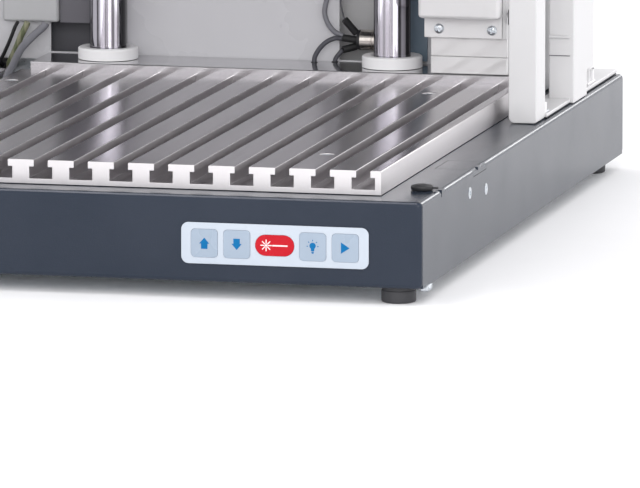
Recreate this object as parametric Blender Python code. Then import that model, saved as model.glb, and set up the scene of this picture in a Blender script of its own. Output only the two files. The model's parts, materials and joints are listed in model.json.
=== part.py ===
"""Benchtop laser workstation with a lifting hood.

A sheet-steel base carries a T-slot work table, two guide columns on a ground bar, and a white rear
tower.  A laser head rides up and down the columns, and a three-sided hood slides down over the table.

Sizes below are in millimetres.  X runs left to right, the front faces -Y, Z is up, and the origin is
on the surface the feet stand on, at the middle of the footprint.
"""
import math

import bmesh
import bpy
from mathutils import Matrix, Vector

MM = 0.001
GAP = 0.3                      # clearance between pieces that rest on each other

# ---- driving dimensions -------------------------------------------------------------------------
BASE_W, BASE_D, BASE_H = 432.0, 600.0, 52.5
FOOT_H, FOOT_R, FOOT_X = 10.0, 10.5, 198.3
SHEET = 1.5                    # base sheet thickness
BEND_R = 3.0                   # outer radius of the base's folded edges
PANEL_T = 3.0                  # front and rear panels
PROUD = 1.7                    # how far keys and rear fittings stand out of the base

SLOT_PITCH, SLOT_COUNT = 25.0, 15
SLOT_NECK, SLOT_INNER = 8.7, 14.3
LIP_T, TABLE_T, TABLE_FLOOR = 4.4, 15.0, 3.2
TABLE_W, TABLE_D, TABLE_SETBACK = 372.0, 400.0, 22.0
TABLE_HOLE_X, TABLE_HOLE_Y = 5.5 * SLOT_PITCH, (-214.0, 68.0)

COLUMN_R, COLUMN_X = 12.0, 94.5
COLLAR_R, COLLAR_H = 19.5, 7.5
BAR_D, BAR_H = 47.5, 20.0
BAR_X0, BAR_X1 = -139.5, 178.0

TOWER_TOP = 640.0
HOUSING_BOTTOM = 340.0         # underside of the fixed housing over the table
POST_IN, POST_OUT = 193.1, 211.2
HOOD_TRAVEL = 270.0
HOOD_H, HOOD_T = 290.0, 3.0

# ---- values that follow from them ---------------------------------------------------------------
HALF_W, HALF_D = BASE_W / 2, BASE_D / 2
DECK = FOOT_H + BASE_H
FRONT, REAR = -HALF_D, HALF_D
TABLE_Y0 = FRONT + TABLE_SETBACK
TABLE_Y1 = TABLE_Y0 + TABLE_D
TABLE_TOP = DECK + TABLE_T
BAR_Y0 = TABLE_Y1 + GAP
BAR_Y1 = BAR_Y0 + BAR_D
BAR_TOP = DECK + BAR_H
COLUMN_Y = TABLE_Y1 + 28.0
WALL_Y = BAR_Y1 + 2 * GAP      # front face of the back wall
WALL_T = 2.0
BUFFER_H = 3.5
HOOD_DOWN = DECK + BUFFER_H + 2 * GAP
HOOD_UP = HOOD_DOWN + HOOD_TRAVEL

SLATE = (0.055, 0.065, 0.082)
WHITE = (0.78, 0.79, 0.80)
ALUMINIUM = (0.62, 0.62, 0.64)
BLACK = (0.015, 0.015, 0.015)


# ---- scene and materials ------------------------------------------------------------------------
def clear_scene():
    for obj in list(bpy.data.objects):
        bpy.data.objects.remove(obj, do_unlink=True)


def material(name, colour, roughness, metallic=0.0, alpha=1.0):
    mat = bpy.data.materials.new(name + "_finish")
    mat.use_nodes = True
    shader = mat.node_tree.nodes["Principled BSDF"]
    shader.inputs["Base Color"].default_value = (*colour, 1.0)
    shader.inputs["Roughness"].default_value = roughness
    shader.inputs["Metallic"].default_value = metallic
    shader.inputs["Alpha"].default_value = alpha
    return mat


def painted(name, colour=WHITE):
    return material(name, colour, 0.4)


def metal(name, colour=ALUMINIUM, roughness=0.3):
    return material(name, colour, roughness, 1.0)


def plastic(name, colour, roughness=0.5):
    return material(name, colour, roughness)


# ---- mesh helpers -------------------------------------------------------------------------------
def finish_mesh(name, bm, mat, origin=(0.0, 0.0, 0.0)):
    """Turns a mesh drawn in millimetres into an object whose origin is at the given place."""
    bmesh.ops.translate(bm, verts=bm.verts, vec=-Vector(origin))
    bmesh.ops.scale(bm, verts=bm.verts, vec=(MM, MM, MM))
    bmesh.ops.recalc_face_normals(bm, faces=bm.faces)
    mesh = bpy.data.meshes.new(name)
    bm.to_mesh(mesh)
    bm.free()
    mesh.shade_smooth()
    mesh.set_sharp_from_angle(angle=math.radians(35))
    obj = bpy.data.objects.new(name, mesh)
    obj.location = Vector(origin) * MM
    obj.data.materials.append(mat)
    bpy.context.scene.collection.objects.link(obj)
    return obj


def place(axis, u, v, w):
    """A point (u, v) of an outline, moved w along the axis that the outline is extruded on."""
    return {"X": (w, u, v), "Y": (u, w, v), "Z": (u, v, w)}[axis]


def prism(name, outline, axis, lo, hi, mat, origin=(0.0, 0.0, 0.0)):
    bm = bmesh.new()
    ring = [bm.verts.new(place(axis, u, v, lo)) for u, v in outline]
    face = bm.faces.new(ring)
    side = bmesh.ops.extrude_face_region(bm, geom=[face])["geom"]
    moved = [item for item in side if isinstance(item, bmesh.types.BMVert)]
    bmesh.ops.translate(bm, verts=moved, vec=place(axis, 0.0, 0.0, hi - lo))
    return finish_mesh(name, bm, mat, origin)


def box(name, lo, hi, mat, bevel=0.0, segments=2, origin=(0.0, 0.0, 0.0)):
    bm = bmesh.new()
    bmesh.ops.create_cube(bm, size=1.0)
    size = Vector(hi) - Vector(lo)
    centre = (Vector(hi) + Vector(lo)) / 2
    bmesh.ops.scale(bm, verts=bm.verts, vec=size)
    bmesh.ops.translate(bm, verts=bm.verts, vec=centre)
    if bevel:
        bmesh.ops.bevel(bm, geom=bm.edges, offset=bevel, segments=segments, profile=0.5,
                        affect="EDGES")
    return finish_mesh(name, bm, mat, origin)


def turned(name, profile, centre, axis, mat, sides=32, origin=(0.0, 0.0, 0.0)):
    """A solid of revolution: the profile is a closed list of (radius, height along the axis)."""
    bm = bmesh.new()
    turn = {"X": Matrix.Rotation(math.pi / 2, 3, "Y"), "Y": Matrix.Rotation(-math.pi / 2, 3, "X"),
            "Z": Matrix.Identity(3)}[axis]
    rings = []
    for radius, height in profile:
        if radius == 0.0:
            rings.append([bm.verts.new((0.0, 0.0, height))])
            continue
        steps = [2 * math.pi * i / sides for i in range(sides)]
        rings.append([bm.verts.new((radius * math.cos(a), radius * math.sin(a), height))
                      for a in steps])
    pairs = list(zip(rings, rings[1:]))
    if profile[0][0] > 0.0:
        pairs.append((rings[-1], rings[0]))
    for lower, upper in pairs:
        bridge(bm, lower, upper, sides)
    bmesh.ops.transform(bm, matrix=Matrix.Translation(centre) @ turn.to_4x4(), verts=bm.verts)
    return finish_mesh(name, bm, mat, origin)


def bridge(bm, lower, upper, sides):
    for i in range(sides):
        j = (i + 1) % sides
        if len(lower) == 1:
            bm.faces.new((lower[0], upper[i], upper[j]))
        elif len(upper) == 1:
            bm.faces.new((lower[i], lower[j], upper[0]))
        else:
            bm.faces.new((lower[i], lower[j], upper[j], upper[i]))


def cylinder(name, centre, radius, height, axis, mat, chamfer=0.0, sides=32, **kwargs):
    profile = [(0.0, 0.0), (radius - chamfer, 0.0), (radius, chamfer), (radius, height - chamfer),
               (radius - chamfer, height), (0.0, height)]
    if not chamfer:
        profile = [(0.0, 0.0), (radius, 0.0), (radius, height), (0.0, height)]
    return turned(name, profile, centre, axis, mat, sides, **kwargs)


def arc(centre, radius, start, end, steps):
    """Points on an arc, with the angles in degrees."""
    angles = [math.radians(start + (end - start) * i / steps) for i in range(steps + 1)]
    return [(centre[0] + radius * math.cos(a), centre[1] + radius * math.sin(a)) for a in angles]


def rounded_rect(x0, y0, x1, y1, radius, steps=4):
    """A rectangle with round corners, anticlockwise from its lower right corner."""
    points = arc((x1 - radius, y0 + radius), radius, -90, 0, steps)
    points += arc((x1 - radius, y1 - radius), radius, 0, 90, steps)
    points += arc((x0 + radius, y1 - radius), radius, 90, 180, steps)
    points += arc((x0 + radius, y0 + radius), radius, 180, 270, steps)
    return points


def mirrored(outline):
    return [(-u, v) for u, v in reversed(outline)]


def cut(obj, cutter):
    """Takes the cutter's shape out of the object and keeps the cutter as a hidden guide."""
    cutter.hide_render = True
    cutter.display_type = "WIRE"
    modifier = obj.modifiers.new("cut_" + cutter.name, "BOOLEAN")
    modifier.operation = "DIFFERENCE"
    modifier.solver = "EXACT"
    modifier.object = cutter


def cut_box(obj, label, lo, hi):
    guide = material("guide_" + label, (1.0, 0.2, 0.1), 0.5)
    cut(obj, box("guide_" + label, lo, hi, guide))


def cut_hole(obj, label, centre, radius, depth, axis="Z", sides=20):
    guide = material("guide_" + label, (1.0, 0.2, 0.1), 0.5)
    cut(obj, cylinder("guide_" + label, centre, radius, depth, axis, guide, sides=sides))


def cable(name, points, diameter, mat, count=22):
    """A round cable on a smooth curve through the points given."""
    curve = bpy.data.curves.new(name, "CURVE")
    curve.dimensions = "3D"
    curve.bevel_depth = diameter / 2 * MM
    curve.bevel_resolution = 2
    curve.use_fill_caps = True
    curve.render_resolution_u = 0
    path = smooth_path(points, count)
    spline = curve.splines.new("POLY")
    spline.points.add(len(path) - 1)
    for spot, point in zip(spline.points, path):
        spot.co = (*(point * MM), 1.0)
    curve.materials.append(mat)
    obj = bpy.data.objects.new(name, curve)
    bpy.context.scene.collection.objects.link(obj)
    return obj


def smooth_path(points, count):
    """Evenly stepped points on a Catmull-Rom curve through the route's own points."""
    knots = [Vector(p) for p in points]
    knots = [2 * knots[0] - knots[1]] + knots + [2 * knots[-1] - knots[-2]]
    spans = len(knots) - 3
    path = []
    for step in range(count):
        place_on = step / (count - 1) * spans
        i = min(int(place_on), spans - 1)
        t = place_on - i
        a, b, c, d = knots[i:i + 4]
        path.append(0.5 * (2 * b + (c - a) * t + (2 * a - 5 * b + 4 * c - d) * t ** 2
                           + (3 * b - a - 3 * c + d) * t ** 3))
    return path


# ---- base ---------------------------------------------------------------------------------------
DECK_INSERT = (191.8, -157.0, HALF_W, -121.0)      # x0, y0, x1, y1 of the strike set in the deck edge


def base_shell():
    """Deck and both sides, folded from one sheet."""
    outer = arc((HALF_W - BEND_R, DECK - BEND_R), BEND_R, 0, 90, 4)
    inner = arc((HALF_W - BEND_R, DECK - BEND_R), BEND_R - SHEET, 90, 0, 4)
    right = [(HALF_W, FOOT_H)] + outer
    inside = inner + [(HALF_W - SHEET, FOOT_H)]
    outline = right + mirrored(right) + mirrored(inside) + inside
    inset = PANEL_T + GAP
    shell = prism("base_shell", outline, "Y", FRONT + inset, REAR - inset, painted("base", SLATE))
    x0, y0, x1, y1 = DECK_INSERT
    cut_box(shell, "strike", (x0, y0, DECK - SHEET - 3.0), (x1 + 1, y1, DECK + 1))


def deck_insert():
    """Flush steel strike plate for the hood's interlock, in a notch of the right deck edge."""
    x0, y0, x1, y1 = DECK_INSERT
    corner = arc((x1 - BEND_R, DECK - BEND_R), BEND_R, 0, 90, 4)
    skin = [(x1, DECK - SHEET - 3.0 + GAP)] + corner + [(x0 + GAP, DECK)]
    back = [(x0 + GAP, DECK - SHEET), (x1 - BEND_R, DECK - SHEET),
            (x1 - SHEET, DECK - BEND_R), (x1 - SHEET, DECK - SHEET - 3.0 + GAP)]
    prism("deck_insert", skin + back, "Y", y0 + GAP, y1 - GAP, painted("deck_insert", SLATE))


def base_panels():
    edge = PANEL_T * 0.8
    for name, y0, y1 in (("front_panel", FRONT, FRONT + PANEL_T),
                         ("rear_panel", REAR - PANEL_T, REAR)):
        panel = prism(name, rounded_rect(-HALF_W, FOOT_H, HALF_W, DECK, BEND_R), "Y", y0, y1,
                      painted(name, SLATE))
        front_face_bevel(panel, y0 if name == "front_panel" else y1, edge)
    cut_box(bpy.data.objects["front_panel"], "keypad", KEYPAD_POCKET_LO, KEYPAD_POCKET_HI)
    cut_box(bpy.data.objects["rear_panel"], "inlet", INLET_HOLE_LO, INLET_HOLE_HI)
    box("bottom_plate", (-HALF_W + 4, FRONT + 6, FOOT_H + 1), (HALF_W - 4, REAR - 6, FOOT_H + 2.5),
        metal("bottom_plate", (0.5, 0.5, 0.52), 0.5))


def front_face_bevel(panel, y, width):
    """Rounds the outer edge of a panel's visible face."""
    bm = bmesh.new()
    bm.from_mesh(panel.data)
    rim = [e for e in bm.edges if all(abs(v.co.y - y * MM) < 1e-6 for v in e.verts)]
    bmesh.ops.bevel(bm, geom=rim, offset=width * MM, segments=3, profile=0.5, affect="EDGES")
    bm.to_mesh(panel.data)
    bm.free()
    panel.data.shade_smooth()
    panel.data.set_sharp_from_angle(angle=math.radians(35))


def feet():
    for side, sx in (("left", -1), ("right", 1)):
        for end, y in (("front", FRONT + 16.0), ("rear", REAR - 24.0)):
            name = f"foot_{end}_{side}"
            cylinder(name, (sx * FOOT_X, y, 0.0), FOOT_R, FOOT_H - GAP, "Z",
                     plastic(name, BLACK, 0.8), chamfer=1.0, sides=24)


# ---- keypad -------------------------------------------------------------------------------------
KEYPAD_X, KEYPAD_Z = 126.0, FOOT_H + 23.8
KEYPAD_W, KEYPAD_H, KEYPAD_T = 115.5, 25.0, 2.2
KEYPAD_FACE = FRONT - 1.2
KEY_W, KEY_H = 16.4, 17.0
KEY_TRAVEL = 0.5
KEYS = (("key_up", -43.4), ("key_down", -23.4), ("key_light", 23.4), ("key_start", 43.4))
PILL_W, PILL_H = 24.0, 12.7
KEYPAD_POCKET_LO = (KEYPAD_X - 54.0, FRONT - 1, KEYPAD_Z - 10.0)
KEYPAD_POCKET_HI = (KEYPAD_X + 54.0, FRONT + PANEL_T + 1, KEYPAD_Z + 10.0)


def keypad():
    """A light panel on the front, with four keys and a fixed emission light set into it."""
    outline = rounded_rect(KEYPAD_X - KEYPAD_W / 2, KEYPAD_Z - KEYPAD_H / 2,
                           KEYPAD_X + KEYPAD_W / 2, KEYPAD_Z + KEYPAD_H / 2, 4.0)
    panel = prism("keypad_panel", outline, "Y", KEYPAD_FACE, FRONT - GAP,
                  plastic("keypad", (0.74, 0.80, 0.87)))
    for name, dx in KEYS:
        x = KEYPAD_X + dx
        cutter = rounded_rect(x - KEY_W / 2 - GAP, KEYPAD_Z - KEY_H / 2 - GAP,
                              x + KEY_W / 2 + GAP, KEYPAD_Z + KEY_H / 2 + GAP, 2.3, 3)
        cut(panel, prism("guide_" + name, cutter, "Y", FRONT - 5, FRONT + 5, plastic("guide", SLATE)))
        key = rounded_rect(x - KEY_W / 2, KEYPAD_Z - KEY_H / 2, x + KEY_W / 2, KEYPAD_Z + KEY_H / 2,
                           2.0, 3)
        prism(name, key, "Y", FRONT - PROUD, FRONT + 1.0, plastic(name, (0.55, 0.63, 0.78)),
              origin=(x, FRONT, KEYPAD_Z))
    for label, grow in (("guide_pill", GAP), ("indicator_lens", 0.0)):
        pill = rounded_rect(KEYPAD_X - PILL_W / 2 - grow, KEYPAD_Z - PILL_H / 2 - grow,
                            KEYPAD_X + PILL_W / 2 + grow, KEYPAD_Z + PILL_H / 2 + grow,
                            PILL_H / 2 - 0.1, 5)
        lens = prism(label, pill, "Y", FRONT - (PROUD - 0.2 if not grow else 5.0),
                     FRONT + (2.5 if not grow else 5.0), plastic(label, (0.75, 0.01, 0.03), 0.25))
        if grow:
            cut(panel, lens)


# ---- table, bar and columns ---------------------------------------------------------------------
def table_outline():
    """End view of the T-slot table: a flat underside and a row of undercut slots."""
    top, bottom = TABLE_TOP, DECK + GAP
    lip, floor = top - LIP_T, bottom + TABLE_FLOOR
    ease = 0.6
    points = [(-TABLE_W / 2, bottom), (TABLE_W / 2, bottom), (TABLE_W / 2, top - ease),
              (TABLE_W / 2 - ease, top)]
    for i in reversed(range(SLOT_COUNT)):
        x = (i - (SLOT_COUNT - 1) / 2) * SLOT_PITCH
        neck, inner = SLOT_NECK / 2, SLOT_INNER / 2
        points += [(x + neck + ease, top), (x + neck, top - ease), (x + neck, lip), (x + inner, lip),
                   (x + inner, floor), (x - inner, floor), (x - inner, lip), (x - neck, lip),
                   (x - neck, top - ease), (x - neck - ease, top)]
    return points + [(-TABLE_W / 2 + ease, top), (-TABLE_W / 2, top - ease)]


def t_slot_table():
    table = prism("t_slot_table", table_outline(), "Y", TABLE_Y0, TABLE_Y1, metal("table"))
    for i, (x, y) in enumerate((x, y) for x in (-TABLE_HOLE_X, TABLE_HOLE_X) for y in TABLE_HOLE_Y):
        cut_hole(table, f"counterbore_{i}", (x, y, TABLE_TOP - 7.0), 4.4, 20.0, sides=16)


def bar_and_columns():
    box("rear_bar", (BAR_X0, BAR_Y0, DECK + GAP), (BAR_X1, BAR_Y1, BAR_TOP), metal("bar"), 0.5, 1)
    for side, sx in (("left", -1), ("right", 1)):
        centre = (sx * COLUMN_X, COLUMN_Y, BAR_TOP + GAP)
        cylinder("guide_column_" + side, centre, COLUMN_R, BRIDGE_Z - GAP - centre[2], "Z",
                 metal("column_" + side, (0.75, 0.75, 0.77), 0.08), chamfer=1.0)
        inner = COLUMN_R + GAP
        ring = [(inner, 0.0), (COLLAR_R, 0.0), (COLLAR_R, COLLAR_H - 1.2), (COLLAR_R - 1.2, COLLAR_H),
                (inner, COLLAR_H)]
        turned("column_collar_" + side, ring, centre, "Z", plastic("collar_" + side, WHITE))


# ---- rear tower ---------------------------------------------------------------------------------
BAYS = ((-138.4, -87.0), (54.8, 112.0))            # openings behind the columns, x0 and x1
BAY_TOP = 325.0
COVER_X, COVER_Y1 = 186.0, 292.0


def back_wall():
    wall = box("back_wall", (-190, WALL_Y, DECK + GAP), (190, WALL_Y + WALL_T, TOWER_TOP - 4),
               painted("wall"))
    for i, (x0, x1) in enumerate(BAYS):
        cut_box(wall, f"bay_{i}", (x0, WALL_Y - 5, BAR_TOP + 0.6), (x1, WALL_Y + 5, BAY_TOP))
    cut_box(wall, "cable_pass", (-186, WALL_Y - 5, DECK + 1.5), (-143, WALL_Y + 5, DECK + 15.5))


def wall_covers():
    """Left: a shallow cover on the back wall.  Right: a flanged box above a narrow duct."""
    back = WALL_Y - GAP
    box("left_wall_cover", (-169, WALL_Y - 7, DECK + 40.5), (-108, back, BAY_TOP + 5),
        painted("left_cover"), 1.0)
    low, flange_low = DECK + 57.5, DECK + 43.9
    side = [(121.0, flange_low), (123.8, flange_low), (123.8, low), (back, low),
            (back, BAY_TOP + 5), (108.0, BAY_TOP + 5), (108.0, low), (121.0, low)]
    prism("right_wall_box", side, "X", 120.8, 176.0, painted("right_box"))
    duct = box("right_duct", (125.7, 124.3, BAR_TOP + GAP), (176.0, back, low - 0.4),
               painted("duct"), 0.6, 1)
    cut_box(duct, "duct", (128, 127, BAR_TOP + 3), (174, 180, low - 3))


def front_post_outline():
    corner = 3.5
    points = arc((POST_IN + corner, DECK + GAP + corner), corner, 180, 270, 5)
    points += [(POST_OUT, DECK + GAP), (POST_OUT, TOWER_TOP)]
    return points + [(POST_IN, TOWER_TOP)]


def posts():
    """Two white posts on each side; the front ones are channels open to the rear."""
    rear = [(148.0, DECK + GAP), (189.0, DECK + GAP), (189.0, DECK + 16.5), (210.7, DECK + 16.5),
            (210.7, TOWER_TOP), (148.0, TOWER_TOP)]
    for side, sx in (("left", -1), ("right", 1)):
        outline = front_post_outline() if sx > 0 else mirrored(front_post_outline())
        name = "front_post_" + side
        post = prism(name, outline, "Y", 48.6, 75.3, painted(name))
        xs = sorted((sx * (POST_IN + 2), sx * (POST_OUT - 2)))
        cut_box(post, name, (xs[0], 51, DECK + 12), (xs[1], 80, TOWER_TOP - 8))
        name = "rear_post_" + side
        xs = sorted((sx * 198.0, sx * 214.6))
        post = prism(name, rear, "X", xs[0], xs[1], painted(name))
        xs = sorted((sx * 190.0, sx * 212.6))
        cut_box(post, name, (xs[0], 150, DECK + 20), (xs[1], 208.7, TOWER_TOP - 8))


def deck_ledges():
    outline = [(193, 75.8), (212.3, 75.8), (212.3, 147.6), (197.6, 147.6), (197.6, 189.4),
               (212.3, 189.4), (212.3, 298), (193, 298)]
    for side, shape in (("right", outline), ("left", mirrored(outline))):
        name = "deck_ledge_" + side
        prism(name, shape, "Z", DECK + 1.0, DECK + 3.2, painted(name))


def rear_cover():
    cover = box("rear_cover", (-COVER_X, WALL_Y + WALL_T + GAP, DECK + GAP),
                (COVER_X, COVER_Y1, TOWER_TOP), painted("cover"), 3.0)
    cut_box(cover, "cover_inside", (-COVER_X + 2, WALL_Y - 5, DECK - 5),
            (COVER_X - 2, COVER_Y1 - 2, TOWER_TOP - 2))
    cut_hole(cover, "exhaust", (EXHAUST[0], COVER_Y1 - 12, EXHAUST[2]), 26.0, 20.0, "Y", 32)


def upper_housing():
    """Fixed housing over the table, open underneath and towards the columns."""
    housing = prism("upper_housing", housing_plan(), "Z", HOUSING_BOTTOM, TOWER_TOP,
                    painted("housing"))
    cut_box(housing, "housing_inside", (-187, -267, HOUSING_BOTTOM - 5),
            (187, WALL_Y + 10, TOWER_TOP - 3))


def housing_plan():
    """Plan of the housing: round front corners and a square rear."""
    y0, y1, radius = -270.0, WALL_Y - GAP, 6.0
    right = arc((190 - radius, y0 + radius), radius, -90, 0, 4) + [(190.0, y1)]
    return right + mirrored(right)


# ---- lifting axis -------------------------------------------------------------------------------
BRIDGE_Z, BRIDGE_T = 600.0, 10.0
CARRIAGE_Z = (420.0, 520.0)
SCREW_R = 8.0
HEAD_Y = (-110.0, 130.0)
LENS_Y = -60.0


def lift_axis():
    bridge_plate = box("top_bridge", (-125, 131, BRIDGE_Z), (125, 169, BRIDGE_Z + BRIDGE_T),
                       metal("bridge"), 0.8, 1)
    cut_hole(bridge_plate, "screw_end", (0, COLUMN_Y, BRIDGE_Z - 5), SCREW_R + GAP, 20)
    box("lift_motor", (-21, 129, BRIDGE_Z + BRIDGE_T + GAP), (21, 169.5, TOWER_TOP - 4),
        plastic("motor", BLACK), 2.0, 1)
    screw_z = HOUSING_BOTTOM + 5
    cylinder("lead_screw", (0, COLUMN_Y, screw_z), SCREW_R, BRIDGE_Z + BRIDGE_T - 0.5 - screw_z, "Z",
             metal("screw"), chamfer=1.0, sides=24, origin=(0, COLUMN_Y, HOUSING_BOTTOM))
    z0, z1 = CARRIAGE_Z
    origin = (0, COLUMN_Y, z0)
    carriage = box("lift_carriage", (-118, 131, z0), (118, 168.5, z1), metal("carriage"), 1.0, 1,
                   origin=origin)
    for label, x, radius in (("left", -COLUMN_X, COLUMN_R), ("right", COLUMN_X, COLUMN_R),
                             ("screw", 0.0, SCREW_R)):
        cut_hole(carriage, "bore_" + label, (x, COLUMN_Y, z0 - 5), radius + GAP, z1 - z0 + 10,
                 sides=32 if radius > 10 else 24)
    box("laser_head", (-60, HEAD_Y[0], z0 - 20), (60, HEAD_Y[1] + 0.7, z1 - 5),
        plastic("head", (0.05, 0.06, 0.075), 0.4), 4.0, origin=origin)
    bottom = z0 - 20 - GAP
    lens = [(0.0, -32.0), (26.0, -32.0), (28.0, -38.0), (37.0, -38.0), (38.0, -36.0), (38.0, -12.0),
            (44.0, -10.0), (44.0, 0.0), (0.0, 0.0)]
    turned("scan_lens", lens, (0, LENS_Y, bottom), "Z", metal("lens", (0.03, 0.03, 0.035), 0.3),
           origin=origin)


# ---- hood ---------------------------------------------------------------------------------------
HOOD_OUT, HOOD_Y0, HOOD_Y1 = 211.0, -296.0, 44.0
RAIL_Y, RAIL_HALF = -108.0, 4.0
WINDOW_HALF, WINDOW_Z = 130.0, (45.0, 225.0)


def hood_plan():
    """Plan of the hood: a U with a guide channel on the inside of each side wall."""
    radius, inner = 14.0, HOOD_OUT - HOOD_T
    outer = arc((HOOD_OUT - radius, HOOD_Y0 + radius), radius, -90, 0, 5)
    outer += [(HOOD_OUT, HOOD_Y1), (inner, HOOD_Y1)]
    for y0, y1 in ((RAIL_Y + RAIL_HALF + 0.5, RAIL_Y + 16), (RAIL_Y - 16, RAIL_Y - RAIL_HALF - 0.5)):
        outer += [(inner, y1), (200.0, y1), (200.0, y0), (inner, y0)]
    outer += arc((HOOD_OUT - radius, HOOD_Y0 + radius), radius - HOOD_T, 0, -90, 5)
    return outer + mirrored(outer)


def hood():
    z0, z1 = HOOD_UP, HOOD_UP + HOOD_H
    origin = (0, HOOD_Y0, z0)
    plan = hood_plan()
    shell = prism("hood_shell", plan, "Z", z0, z1, painted("hood"), origin=origin)
    low, high = z0 + WINDOW_Z[0], z0 + WINDOW_Z[1]
    opening = rounded_rect(-WINDOW_HALF, low, WINDOW_HALF, high, 10.0)
    cut(shell, prism("guide_window", opening, "Y", HOOD_Y0 - 5, HOOD_Y0 + 10, painted("guide_window")))
    pane = rounded_rect(-WINDOW_HALF - 10, low - 10, WINDOW_HALF + 10, high + 10, 12.0)
    inside = HOOD_Y0 + HOOD_T + GAP
    prism("hood_window", pane, "Y", inside, inside + 3.0,
          material("window", (0.02, 0.12, 0.04), 0.05, 0.0, 0.45), origin=origin)
    grip = [(HOOD_Y0 - GAP, z0 + 2), (HOOD_Y0 - GAP, z0 + 16), (HOOD_Y0 - 2.0, z0 + 16),
            (HOOD_Y0 - 2.0, z0 + 6), (HOOD_Y0 - 4.0, z0 + 9), (HOOD_Y0 - 5.5, z0 + 8),
            (HOOD_Y0 - 4.6, z0 + 2)]
    prism("hood_handle", grip, "X", -100, 100, metal("handle"), origin=origin)
    for side, sx in (("left", -1), ("right", 1)):
        xs = sorted((sx * (190 + GAP), sx * 204.0))
        name = "hood_rail_" + side
        box(name, (xs[0], RAIL_Y - RAIL_HALF, 300), (xs[1], RAIL_Y + RAIL_HALF, TOWER_TOP - 10),
            metal(name), 0.8, 1)
        name = "hood_buffer_" + side
        cylinder(name, (sx * 204.5, -248.5, DECK + GAP), 6.8, BUFFER_H, "Z",
                 plastic(name, BLACK, 0.7), chamfer=0.6, sides=24)


# ---- rear fittings and electronics --------------------------------------------------------------
INLET_HOLE_LO = (-171.0, REAR - PANEL_T - 1, 21.0)
INLET_HOLE_HI = (-104.0, REAR + 1, 51.0)
ROCKER_X, ROCKER_Z, ROCKER_Y = -117.0, 36.0, 296.5
ROCKER_TILT = math.radians(8)      # off at rest, and it turns as far the other way
EXHAUST = (0.0, COVER_Y1 + GAP, 290.0)


def rear_fittings():
    inlet = box("mains_inlet", (-170, 284, 22), (-105, REAR + 1.2, 50), plastic("inlet", BLACK), 1.0, 1)
    cut_box(inlet, "socket", (-163, 290, 25), (-133, REAR + 5, 47))
    cut_box(inlet, "rocker_well", (ROCKER_X - 8, 290, ROCKER_Z - 12),
            (ROCKER_X + 8, REAR + 5, ROCKER_Z + 12))
    rocker = box("power_switch", (ROCKER_X - 7.2, 293, ROCKER_Z - 9.5),
                 (ROCKER_X + 7.2, REAR + 0.3, ROCKER_Z + 9.5), plastic("rocker", BLACK, 0.35),
                 0.8, 1, origin=(ROCKER_X, ROCKER_Y, ROCKER_Z))
    rocker.rotation_euler.x = ROCKER_TILT
    x, y, z = EXHAUST
    length = REAR + PROUD - y
    pipe = [(23.0, 0.0), (32.0, 0.0), (32.0, 2.0), (25.5, 2.0), (25.5, length), (23.0, length)]
    turned("exhaust_port", pipe, (x, y, z), "Y", plastic("exhaust", BLACK))


def electronics():
    box("power_supply", (-170, 190, DECK + 2), (-60, 282, DECK + 60), metal("supply"), 1.5, 1)
    box("control_board", (-105, 278, 130), (20, 280, 260), plastic("board", (0.02, 0.16, 0.06)))


# ---- cables inside the tower --------------------------------------------------------------------
CONNECTOR = (67.4, 171.0, 96.7)
GREY = (0.20, 0.20, 0.23)
SLEEVE_D = 4.0
TAILS = (                        # name, offset of its start from the connector's end, far end
    ("sleeve_upper", (-1.6, 0.0, 4.3), (59.4, 166.0, 110.1)),
    ("sleeve_middle", (-0.7, -1.5, 0.0), (57.5, 166.0, 98.4)),
    ("sleeve_lower", (-1.6, 0.0, -4.3), (58.1, 166.0, 90.5)),
)


def connector():
    """A round metal connector with three cables leaving it in black sleeves."""
    body = [(0.0, 0.0), (5.2, 0.0), (6.7, 1.8), (6.7, 26.0), (5.0, 26.0), (5.0, 44.0), (0.0, 44.0)]
    turned("cable_connector", body, CONNECTOR, "X", metal("connector", (0.7, 0.66, 0.62), 0.2), 24)
    for name, offset, end in TAILS:
        start = tuple(a + b for a, b in zip(CONNECTOR, offset))
        middle = tuple((a + b) / 2 for a, b in zip(start, end))
        cable(name, [start, middle, end], SLEEVE_D, plastic(name, BLACK, 0.6), 6)


# Each route is the list of points that the cable's middle line passes through.
LOOP = [(56.9, 166.6, 100.0), (53.5, 165.6, 101.6), (50.8, 164.6, 104.4), (48.4, 163.8, 108.2),
        (46.8, 163.5, 113.2), (46.8, 163.5, 118.0), (48.6, 163.5, 125.0), (53.0, 163.8, 140.0),
        (58.0, 165.0, 158.0), (62.0, 168.0, 170.0), (65.0, 176.0, 176.0), (66.0, 192.0, 178.0)]
ARC = [(56.4, 162.9, 98.3), (54.0, 161.6, 98.4), (49.8, 160.5, 96.8), (45.6, 160.2, 93.4),
       (42.6, 160.0, 89.5), (40.9, 160.0, 86.0), (40.5, 160.0, BAR_TOP + 0.8)]
LOWER = [(57.2, 165.9, 89.7), (55.4, 165.4, 87.4), (53.8, 165.1, 85.2), (53.0, 165.0, BAR_TOP + 0.9)]
LEFT = [(-138.7, 158.0, 102.7), (-139.6, 157.4, 101.0), (-144.2, 154.0, 96.5), (-147.9, 150.0, 92.4),
        (-150.8, 145.0, 88.5), (-151.8, 138.0, 84.8), (-151.2, 128.0, 81.8), (-150.1, 117.0, 79.4),
        (-150.0, 107.0, 76.6), (-150.0, 97.0, 71.5)]
EARTH = [(-151.1, 159.0, 102.7), (-152.2, 159.3, 100.6), (-154.0, 160.0, 97.4), (-156.8, 161.0, 93.0),
         (-160.4, 163.0, 87.4), (-164.9, 165.5, 80.6), (-167.8, 168.5, 75.6), (-168.6, 174.0, 72.0),
         (-168.8, 184.0, 70.0)]


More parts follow.
